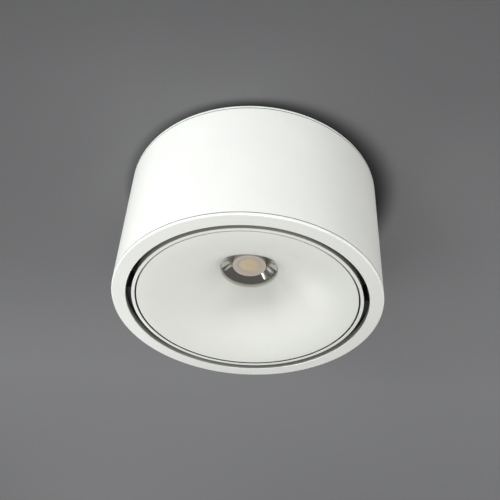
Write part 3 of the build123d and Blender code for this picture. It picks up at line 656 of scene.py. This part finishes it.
def close_up(piece, sharp=32):
    """Turn the faces outward, smooth the shading and count open edges."""
    work = bmesh.new()
    work.from_mesh(piece.data)
    bmesh.ops.recalc_face_normals(work, faces=work.faces)
    torn = sum(len(edge.link_faces) != 2 for edge in work.edges)
    work.to_mesh(piece.data)
    work.free()
    piece.data.shade_smooth()
    piece.data.set_sharp_from_angle(angle=radians(sharp))
    print(piece.name, "faces:", len(piece.data.polygons), "open edges:", torn)
    return piece


def stand_for(piece, node):
    """The piece takes the place of a CAD node, on the same body."""
    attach(piece, body_of[node])
    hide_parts(node)
    points = [v.co for v in piece.data.vertices]
    now = [[limit(point[i] for point in points) for i in range(3)] for limit in (min, max)]
    off = [[round((a - b) / MM, 2) for a, b in zip(*pair)] for pair in zip(now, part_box(node))]
    print("  against the CAD box, mm:", off)


def from_bmesh(name, work):
    """Keep what was built as an object."""
    mesh = bpy.data.meshes.new(name)
    work.to_mesh(mesh)
    work.free()
    return add_object(name, mesh)


def merge(name, *parts):
    """Join objects into one mesh of separate closed shells."""
    work = bmesh.new()
    for part in parts:
        work.from_mesh(part.data)
    made = from_bmesh(name, work)
    made.data.materials.append(parts[0].data.materials[0])
    for part in parts:
        bpy.data.objects.remove(part)
    return made


def section(r, b, sweep_r):
    """A point of a turned section: r from the axis and b above the bezel's face, in mm."""
    return (r - sweep_r) * MM, -(bezel_z + b * MM), 0.0


# %% [markdown]
# ### The funnel
#
# The funnel is one thin plastic shell. Its front is a bell: a parabola that leaves the rim
# nearly flat and gets steeper towards the small opening. The back of the bell is a second
# parabola behind the first. Straight runs join the two, with a small rounding at the rim and
# the lip, because a moulded edge is never knife sharp.
#
# The rim's rounding cuts a little off each parabola. Part of a parabola is a parabola too,
# and de Casteljau's rule gives its three points.

# %% The funnel's outline


def cut_bell(rim, knee, mouth, share):
    """The part of a parabola that is left when its first share is cut off."""

    def along(a, b):
        return tuple(p + (q - p) * share for p, q in zip(a, b))

    later_knee = along(knee, mouth)
    return along(along(rim, knee), later_knee), later_knee, mouth


front = cut_bell((69.7, 1.2), (38.57, 3.92), (18.9, 29.1), share=0.005)
back = cut_bell((69.874, 3.192), (39.61, 5.84), (20.476, 30.331), share=0.0276)
outline = {  # radius, and height above the bezel's face, in mm
    "Rim": front[0],
    "RimTurn": (69.69, 1.21),
    "RimSide": (69.72, 1.5),
    "Flare": (69.86, 3.18),
    "WallFoot": (69.7, 3.3),
    "WallTop": (69.7, 4.3),
    "WallShoulder": (69.7, 4.6),
    "WallEdge": (69.4, 4.6),
    "WallIn": (68.2, 4.6),
    "WallBack": back[0],
    "BackKnee": back[1],
    "BackMouth": back[2],
    "Throat": (20.476, 31.1),
    "LipOut": (20.3, 31.33),
    "LipTop": (19.2, 31.33),
    "LipTurn": (18.9, 31.33),
    "LipIn": (18.9, 31.03),
    "Mouth": front[2],
    "Knee": front[1],
}
print("bell starts at", [round(v, 2) for v in front[0]], "mm")

# %% [markdown]
# A parabola is just what a quadratic Bezier curve draws, so its three points (rim, knee and
# mouth) are the piece's real sizes. They and the other corners are the inputs of the tree,
# which draws the outline and sweeps it round the lamp's axis.

# %% The funnel's tree
kinds = {label: "Vector" for label in outline}
kinds.update(Steps="Int", Turns="Int", Sweep="Float")
tree, sizes = new_tree("bell_funnel", **kinds)


def bezier(tree, steps, start, middle, end):
    """A parabola through three control points."""
    sockets = {"Resolution": steps, "Start": start, "Middle": middle, "End": end}
    return add_node(tree, "GeometryNodeCurveQuadraticBezier", sockets).outputs[0]


def run(tree, *points):
    """Straight lines from point to point."""
    pairs = [{"Start": a, "End": b} for a, b in zip(points, points[1:])]
    return [add_node(tree, "GeometryNodeCurvePrimitiveLine", ends).outputs[0] for ends in pairs]


def sweep(tree, outline, turns, sweep_r):
    """Sweep an outline round the lamp's axis."""
    path = {"Resolution": turns, "Radius": sweep_r}
    path = add_node(tree, "GeometryNodeCurvePrimitiveCircle", path).outputs[0]
    sockets = {"Curve": path, "Profile Curve": outline}
    return add_node(tree, "GeometryNodeCurveToMesh", sockets).outputs[0]


bell_lines = [  # corners, and the steps of a parabola, or None for straight lines
    ("Rim Knee Mouth", sizes["Steps"]),
    ("WallBack BackKnee BackMouth", sizes["Steps"]),
    ("Rim RimTurn RimSide", 4),
    ("WallTop WallShoulder WallEdge", 4),
    ("RimSide Flare WallFoot WallTop", None),
    ("WallEdge WallIn WallBack", None),
    ("BackMouth Throat LipOut LipTop", None),
    ("LipTop LipTurn LipIn", 3),
    ("LipIn Mouth", None),
]
lines = []
for labels, steps in bell_lines:
    corners = [sizes[label] for label in labels.split()]
    lines += run(tree, *corners) if steps is None else [bezier(tree, steps, *corners)]
swept = sweep(tree, join(tree, lines), sizes["Turns"], sizes["Sweep"])
end_tree(tree, swept, sizes)

# %% Grow the funnel
bell_sweep, bell_steps = 45.0, 48
places = {label: section(*corner, bell_sweep) for label, corner in outline.items()}
amounts = dict(Steps=bell_steps, Turns=turns, Sweep=bell_sweep * MM)
bell = grow("funnel_bell", "bell_funnel", "white_plastic", **places, **amounts)
print("bell points:", len(bell.data.vertices))

# %% [markdown]
# ### Copies round the axis
#
# Hooks, facets and fins stand in a ring. One pattern piece is made in its place at azimuth
# 0, and one short tree copies it round the axis, welds neighbours that touch and sets the
# finish. The pattern itself is then deleted.

# %% The ring tree
tree, sizes = new_tree("ring_of_copies", Pattern="Object", Count="Int", First="Float", Weld="Float")
spots = add_node(tree, "GeometryNodePoints", {"Count": sizes["Count"]}).outputs[0]
index = tree.nodes.new("GeometryNodeInputIndex").outputs[0]
angle = work_out(tree, "DIVIDE", times(tree, index, 2 * pi), sizes["Count"])
spin = vector(tree, Z=work_out(tree, "ADD", angle, sizes["First"]))
copies = copies_on(tree, spots, object_of(tree, sizes["Pattern"]), Rotation=spin)
end_tree(tree, copies, sizes, weld=sizes["Weld"])


def ring_of(name, pattern, count, first, slot, weld=0.0001):
    """Copies of a pattern round the axis. first is the first copy's azimuth in degrees."""
    amounts = dict(Count=count, First=radians(first), Weld=weld * MM)
    made = grow(name, "ring_of_copies", slot, Pattern=pattern, **amounts)
    bpy.data.objects.remove(pattern)
    return made


def row_at(work, azimuth, corners):
    """The points of an outline of (r, b) in mm, stood at an azimuth in radians."""
    c, s = cos(azimuth), sin(azimuth)
    return [work.verts.new((r * c * MM, r * s * MM, bezel_z + b * MM)) for r, b in corners]


def skin_between(work, rows):
    """Quads from each row of points to the next."""
    for one, two in zip(rows, rows[1:]):
        for i in range(len(one)):
            j = (i + 1) % len(one)
            work.faces.new((one[i], one[j], two[j], two[i]))


def block(name, corners, spread):
    """A closed block: an outline held at each azimuth of spread, in degrees."""
    work = bmesh.new()
    rows = [row_at(work, radians(azimuth), corners) for azimuth in spread]
    skin_between(work, rows)
    work.faces.new(rows[0])
    work.faces.new(rows[-1][::-1])
    bmesh.ops.recalc_face_normals(work, faces=work.faces)
    return from_bmesh(name, work)


# %% [markdown]
# Three snap hooks stand on the funnel's back and hold it in the head shell. Each is a short
# arc with a slanted nose, so that the funnel clicks in and stays.

# %% The funnel's hooks
hook_outline = [(67.786, 2.3), (68.786, 2.3), (68.786, 7.4), (69.40, 7.4), (69.486, 7.5)]
hook_outline += [(68.85, 8.5), (68.70, 8.6), (67.9, 8.6), (67.786, 8.5)]
hook_count, hook_first, hook_half, hook_steps = 3, 90, 3.5, 10
spread = [hook_half * (2 * i / hook_steps - 1) for i in range(hook_steps + 1)]
hook = block("hook", hook_outline, spread)
hooks = ring_of("funnel_hooks", hook, hook_count, hook_first, "white_plastic")
stand_for(close_up(merge("funnel_shell", bell, hooks)), "funnel")

# %% [markdown]
# ### The faceted reflector
#
# The mirror ring between the funnel and the lens has 24 facets. A flat facet flashes all at
# once; a real moulded one is slightly crowned, so each shows its own small, drawn-out
# gleam. One facet's worth of the ring is built as a strip, bulging inwards by less than a
# tenth of a millimetre in its middle and by nothing at its edges, and the ring tree welds 24
# of them into one closed ring.

# %% The reflector
facet_count, facet_rows, facet_columns = 24, 8, 8
mouth_flat, mouth_b, seat_flat, seat_b, mirror_wall = 18.2, 31.33, 11.3, 35.93, 1.0
crown, lean_in, lean_down = 0.06, 0.55, 0.83  # the bulge, and which way a facet faces
lip_out, lip_in, lip_up = 0.08, 0.06, 0.09  # the slanted edge of the mouth
flange_in, flange_r, flange_t, slant = 18.7, 21.5, 1.0, 0.1


def facet_strip():
    """One facet's strip of the ring: a closed section at each azimuth, open at both sides."""
    work, rows = bmesh.new(), []
    for column in range(facet_columns + 1):
        across = 2 * column / facet_columns - 1
        azimuth = pi / facet_count * across
        flat = 1 / cos(azimuth)
        ring = []
        for row in range(facet_rows + 1):
            down = row / facet_rows
            bulge = crown * (1 - across**2) * (1 - (2 * down - 1) ** 2)
            r = (mouth_flat + (seat_flat - mouth_flat) * down) * flat - bulge * lean_in
            ring.append((r, mouth_b + (seat_b - mouth_b) * down - bulge * lean_down))
        ring[0] = (mouth_flat * flat + lip_out, mouth_b)
        ring.insert(1, (mouth_flat * flat - lip_in, mouth_b + lip_up))
        back = mouth_b + flange_t
        ring += [((seat_flat + mirror_wall) * flat, seat_b), (flange_in * flat, back)]
        ring += [(flange_r - slant, back), (flange_r, back - slant)]
        ring += [(flange_r, mouth_b + slant), (flange_r - slant, mouth_b)]
        rows.append(row_at(work, azimuth, ring))
    skin_between(work, rows)
    return from_bmesh("facet_strip", work)


mirror = ring_of("reflector_ring", facet_strip(), facet_count, 0, "mirror_coat", weld=0.002)
stand_for(close_up(mirror, sharp=9), "reflector")

# %% [markdown]
# ### Lens, holder and heat sink base
#
# These are plain turned pieces with small roundings. Their outlines are short lists of
# corners, each with its radius, and a helper rounds them. The outline goes in as a curve
# object, and one tree sweeps it round the axis. Points on the axis fall together and are
# welded, which closes the pole.

# %% Turned pieces
tree, sizes = new_tree("turned_piece", Outline="Object", Turns="Int", Sweep="Float")
drawn = object_of(tree, sizes["Outline"])
swept = sweep(tree, drawn, sizes["Turns"], sizes["Sweep"])
end_tree(tree, swept, sizes)


def soften(corners, steps=4):
    """Round the corners of an outline. A corner is (r, b) or (r, b, radius)."""
    points = []
    for i, corner in enumerate(corners):
        here = Vector(corner[:2])
        if len(corner) == 2:
            points.append(here)
            continue
        radius = corner[2]
        before = (Vector(corners[i - 1][:2]) - here).normalized()
        after = (Vector(corners[(i + 1) % len(corners)][:2]) - here).normalized()
        half = before.angle(after) / 2
        middle = here + (before + after).normalized() * radius / sin(half)
        first = here + before * radius / tan(half) - middle
        last = here + after * radius / tan(half) - middle
        turn = [first.slerp(last, k / steps).normalized() for k in range(steps + 1)]
        points += [middle + way * radius for way in turn]
    return points


def turned(name, corners, slot, closed=True, around=turns, sweep_r=5.0):
    """Sweep a rounded outline round the lamp's axis."""
    line = bpy.data.curves.new(name + "_outline", "CURVE")
    line.dimensions = "3D"
    spline = line.splines.new("POLY")
    places = [section(r, b, sweep_r) for r, b in soften(corners)]
    spline.points.add(len(places) - 1)
    for point, place in zip(spline.points, places):
        point.co = (*place, 1)
    spline.use_cyclic_u = closed
    outline = add_object(name + "_outline", line)
    made = grow(name, "turned_piece", slot, Outline=outline, Turns=around, Sweep=sweep_r * MM)
    bpy.data.objects.remove(outline)
    return made


def arc(start, middle, end, steps=10):
    """Points of a parabola, its two ends left out."""
    found = []
    for t in [k / steps for k in range(1, steps)]:
        three = zip(start, middle, end)
        found.append(tuple(a * (1 - t) ** 2 + 2 * b * t * (1 - t) + c * t * t for a, b, c in three))
    return found


# %% [markdown]
# The lens is a collimator: a shallow dome in front, a ring round it, and a curved side that
# narrows to a hollow over the light source. Its holder is a cup with a small lip in front.

# %% The lens and its holder
lens_face, lens_seat, lens_r, lens_back = 33.33, 32.53, 10.4, 41.33
dome_r, dome_rise, dome_steps = 6.8, 0.7, 12
hollow_r, hollow_top = 3.2, 36.93
dome = []
for share in [k / dome_steps for k in range(dome_steps)]:
    dome.append((dome_r * share, lens_face - dome_rise * (1 - share**2)))
side, foot = (lens_r, 34.03), (5.0, lens_back)
lens = dome + [(7.0, lens_face), (7.3, 32.95, 0.25), (7.8, lens_seat, 0.4)]
lens += [(lens_r, lens_seat, 0.2), (*side, 0.15)] + arc(side, (7.0, 38.33), foot)
lens += [(*foot, 0.1), (hollow_r, lens_back), (hollow_r, hollow_top, 0.4), (0, hollow_top)]
lens = turned("collimator_lens", lens, "clear_lens", closed=False)
stand_for(close_up(lens, sharp=40), "lens")

lip_r, lip_b, cup_in, cup_r = 10.3, 32.33, 10.5, 11.0
base_in, base_r, base_top = 3.886, 15.8, 42.53
cup = [(lip_r, lip_b, 0.12), (cup_r, lip_b, 0.12), (cup_r, lens_back), (base_r, lens_back, 0.2)]
cup += [(base_r, base_top, 0.2), (base_in, base_top), (base_in, lens_back)]
cup += [(cup_in, lens_back), (cup_in, lens_seat), (lip_r, lens_seat)]
stand_for(close_up(turned("lens_cup", cup, "holder_plastic")), "lens_holder")

# %% [markdown]
# ### The heat sink
#
# A cast disc with a core and 24 upright fins. Casting rounds every edge, so each fin is a
# box with a bevel, and the disc is a turned outline. The fins sink slightly into the disc
# and the core, as one casting, and the ring tree copies them.

# %% Fins, disc and core
fin_count, fin_t, fin_in, fin_out, fin_foot, fin_top = 24, 1.4, 7.6, 32.4, 47.5, 56.63
disc_foot, disc_top, disc_r, core_r, core_turns = 44.43, 47.93, 33, 9, 96
edge_r = 0.3 * MM


def one_fin():
    """A fin at azimuth 0 with rounded edges."""
    work = bmesh.new()
    bmesh.ops.create_cube(work, size=1.0)
    for corner in work.verts:
        corner.co.x = (fin_in if corner.co.x < 0 else fin_out) * MM
        corner.co.y *= fin_t * MM
        corner.co.z = bezel_z + (fin_foot if corner.co.z < 0 else fin_top) * MM
    rounding = dict(offset=edge_r, segments=3, affect="EDGES", profile=0.5)
    bmesh.ops.bevel(work, geom=work.edges[:], **rounding)
    return from_bmesh("fin", work)


alloy = "bare_aluminium"
fins = ring_of("sink_fins", one_fin(), fin_count, 0, alloy)
disc = [(0, disc_foot), (disc_r, disc_foot, 0.3), (disc_r, disc_top, 0.5), (0, disc_top)]
disc = turned("sink_disc", disc, alloy, closed=False)
core = [(0, fin_foot), (core_r, fin_foot), (core_r, fin_top, 0.5), (0, fin_top)]
core = turned("sink_core", core, alloy, closed=False, around=core_turns)
stand_for(close_up(merge("finned_sink", disc, core, fins)), "heat_sink")

# %% [markdown]
# ### Screws
#
# All the pan head screws share one tree. Its head is a low dome with a straight slot, cut
# by an exact Boolean. Its shank is a line whose points step in and out, swept into threads.
# The screws stand on the points of a small mesh, one point to a screw, and a tilt turns
# them head up or head down. Everything follows from the shank's radius, as it does in the
# CAD file, so one tree serves four sets of screws.

# %% Helpers for solids


def solid(tree, radius, depth, sides, middle_z):
    """An upright prism or cylinder whose middle is at middle_z."""
    sockets = {"Vertices": sides, "Radius": radius, "Depth": depth}
    body = add_node(tree, "GeometryNodeMeshCylinder", sockets).outputs["Mesh"]
    return move_up(tree, body, middle_z)


def combine(tree, operation, first, *others):
    """An exact Boolean of closed meshes."""
    node = add_node(tree, "GeometryNodeMeshBoolean", operation=operation, solver="EXACT")
    if operation == "DIFFERENCE":
        tree.links.new(first, node.inputs[0])
    for mesh in others if operation == "DIFFERENCE" else (first, *others):
        tree.links.new(mesh, node.inputs[1])
    return node.outputs[0]


# %% The screw tree
head_share, dome_share, side_share = 1.9, 1.1, 0.45  # radius, height, and its side's height
slot_long, slot_wide, slot_deep = 4.0, 0.5, 1.6
head_turns, shank_turns, dome_steps = 48, 32, 8
thread_share = 0.9  # how much of the thread's size its valleys are cut in
hair = 0.001 * MM

kinds = dict(Places="Object", ShankRadius="Float", ShankLength="Float", Thread="Float")
tree, sizes = new_tree("pan_screws", **kinds, Tilt="Vector")
shank_r, shank_l, thread = sizes["ShankRadius"], sizes["ShankLength"], sizes["Thread"]
head_r = times(tree, shank_r, head_share)
head_h = times(tree, shank_r, dome_share)
side_h = times(tree, head_h, side_share)


def spot(across, along):
    """A point of the screw's outline. The sweep's radius is the shank's."""
    return vector(tree, X=work_out(tree, "SUBTRACT", across, shank_r), Y=along)


head_line = run(tree, spot(0.0, 0.0), spot(head_r, 0.0), spot(head_r, side_h))
dome = [spot(head_r, side_h), spot(head_r, head_h), spot(0.0, head_h)]
head_line.append(bezier(tree, dome_steps, *dome))
head = sweep(tree, join(tree, head_line), head_turns, shank_r)
head = weld_points(tree, head, hair)
long, wide = [times(tree, shank_r, share) for share in (slot_long, slot_wide)]
slot_box = vector(tree, X=long, Y=wide, Z=times(tree, head_h, slot_deep))
slot_box = add_node(tree, "GeometryNodeMeshCube", {"Size": slot_box}).outputs["Mesh"]
slot_box = move_up(tree, slot_box, times(tree, head_h, -1.0))
head = combine(tree, "DIFFERENCE", head, slot_box)
print("a screw's head takes", len(tree.nodes), "nodes")

# %% [markdown]
# The shank's side is one line cut into steps half a pitch long. Every other point is moved
# inwards, and sweeping that zigzag gives rings that read as a thread.

# %% The screw's shank
foot = times(tree, shank_l, -1.0)
pitches = work_out(tree, "DIVIDE", shank_l, times(tree, thread, 2.0))
steps = times(tree, work_out(tree, "ROUND", pitches), 2.0)
side = run(tree, spot(shank_r, 0.0), spot(shank_r, foot))[0]
side = {"Curve": side, "Count": work_out(tree, "ADD", steps, 1.0)}
side = add_node(tree, "GeometryNodeResampleCurve", side).outputs[0]
number = tree.nodes.new("GeometryNodeInputIndex").outputs[0]
odd = work_out(tree, "MODULO", number, 2.0)
even = work_out(tree, "SUBTRACT", 1.0, odd)
inset = times(tree, times(tree, even, thread), -thread_share)
side = {0: side, "Offset": vector(tree, X=inset)}
side = add_node(tree, "GeometryNodeSetPosition", side).outputs[0]
root = work_out(tree, "SUBTRACT", shank_r, times(tree, thread, thread_share))
ends = run(tree, spot(0.0, 0.0), spot(root, 0.0))
ends += run(tree, spot(root, foot), spot(0.0, foot))
shank = sweep(tree, join(tree, [side] + ends), shank_turns, shank_r)
whole = join(tree, [head, weld_points(tree, shank, hair)])
stood = copies_on(tree, object_of(tree, sizes["Places"]), whole, Rotation=sizes["Tilt"])
end_tree(tree, stood, sizes, weld=0.1 * hair)

# %% [markdown]
# Each set of screws goes where the CAD file has it, with the thread's size and the length
# of its own screws.

# %% Set the screws


def points_at(name, places):
    """An object with a point at each place: x, y and height in mm."""
    mesh = bpy.data.meshes.new(name)
    mesh.from_pydata([(x * MM, y * MM, z * MM) for x, y, z in places], [], [])
    return add_object(name, mesh)


def ring_places(r, count, first, z):
    """Places round the axis. first is the first one's azimuth in degrees."""
    turn = [radians(first + 360 * i / count) for i in range(count)]
    return [(r * cos(a), r * sin(a), z) for a in turn]


face_b = bezel_z / MM
head_up, head_down = (pi, 0, 0), (0, 0, 0)
sink_places = ring_places(29, count=3, first=7.5, z=face_b + disc_top)
board_places = ring_places(13.2, count=2, first=90, z=face_b + lens_back)
driver_places, earth_places = [(-56, 36.01, -3.1), (56, 36.01, -3.1)], [(-38, -24, -2.6)]
screw_sets = [  # piece, node, places, tilt, and shank's radius, its length and thread in mm
    ("sink_pan_screws", "heat_sink_screws", sink_places, head_up, 1.5, 6.0, 0.25),
    ("board_pan_screws", "board_screws", board_places, head_down, 1.1, 5.9, 0.2),
    ("driver_pan_screws", "driver_screws", driver_places, head_down, 1.5, 3.1, 0.25),
    ("earth_pan_screw", "earth_screw", earth_places, head_down, 2.0, 2.6, 0.35),
]
for name, node, places, tilt, radius, length, pitch in screw_sets:
    stands = points_at(name + "_places", places)
    lengths = dict(ShankRadius=radius * MM, ShankLength=length * MM, Thread=pitch * MM)
    made = grow(name, "pan_screws", slot_of[node], Places=stands, Tilt=tilt, **lengths)
    bpy.data.objects.remove(stands)
    stand_for(close_up(made, sharp=40), node)

# %% [markdown]
# ### Flange nuts
#
# Three nuts hold the tube's lugs on the ceiling plate's studs. A nut is a six-sided prism
# on a round flange, with its corners turned off at a slant and a hole through it. The tree
# cuts the prism with a cone, joins the flange to it and then bores it, all by exact
# Booleans.

# %% The nut tree
across_corners = 0.5 / cos(pi / 6)  # the radius over the corners, for flats of 1
cone_share, cone_slope = 0.49, 1.7
round_turns, bore_turns, bore_long = 64, 48, 3.0

kinds = dict(Places="Object", Flats="Float", Height="Float", FlangeRadius="Float")
kinds.update(FlangeHeight="Float", Bore="Float")
tree, sizes = new_tree("flange_nuts", **kinds)
whole_h = work_out(tree, "ADD", sizes["Height"], sizes["FlangeHeight"])
corner_r = times(tree, sizes["Flats"], across_corners)
prism = solid(tree, corner_r, whole_h, 6, times(tree, whole_h, -0.5))
cone_top = times(tree, sizes["Flats"], cone_share)
cone_foot = work_out(tree, "ADD", times(tree, whole_h, cone_slope), cone_top)
cone = {"Vertices": round_turns, "Depth": whole_h}
cone.update({"Radius Top": cone_foot, "Radius Bottom": cone_top})
cone = add_node(tree, "GeometryNodeMeshCone", cone).outputs["Mesh"]
cone = move_up(tree, cone, times(tree, whole_h, -1.0))
prism = combine(tree, "INTERSECT", prism, cone)
flange_h = sizes["FlangeHeight"]
flange_z = times(tree, flange_h, -0.5)
flange = solid(tree, sizes["FlangeRadius"], flange_h, round_turns, flange_z)
nut = combine(tree, "UNION", prism, flange)
bore = solid(tree, sizes["Bore"], times(tree, whole_h, bore_long), bore_turns, 0.0)
nut = combine(tree, "DIFFERENCE", nut, bore)
stood = copies_on(tree, object_of(tree, sizes["Places"]), nut)
end_tree(tree, stood, sizes, weld=0.1 * hair)

# %% [markdown]
# The nuts stand in a ring, one on each stud, against the lugs from below.

# %% Set the nuts
stands = points_at("nut_places", ring_places(76, count=3, first=90, z=-9.6))
lengths = dict(Flats=7.0 * MM, Height=3.2 * MM, Bore=2.05 * MM)
lengths.update(FlangeRadius=4.6 * MM, FlangeHeight=0.9 * MM)
nuts = grow("flange_nuts", "flange_nuts", "steel", Places=stands, **lengths)
bpy.data.objects.remove(stands)
stand_for(close_up(nuts, sharp=25), "tube_nuts")

# %% [markdown]
# ## The last check
#
# The visual model must have the CAD model's size. The difference of the two boxes is printed, in
# millimetres.

# %% Sizes, and the end
visual_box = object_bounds()
past = [[round((v - c) / MM, 3) for v, c in zip(*pair)] for pair in zip(visual_box, cad_box)]
print("visual box minus CAD box, mm:", past)
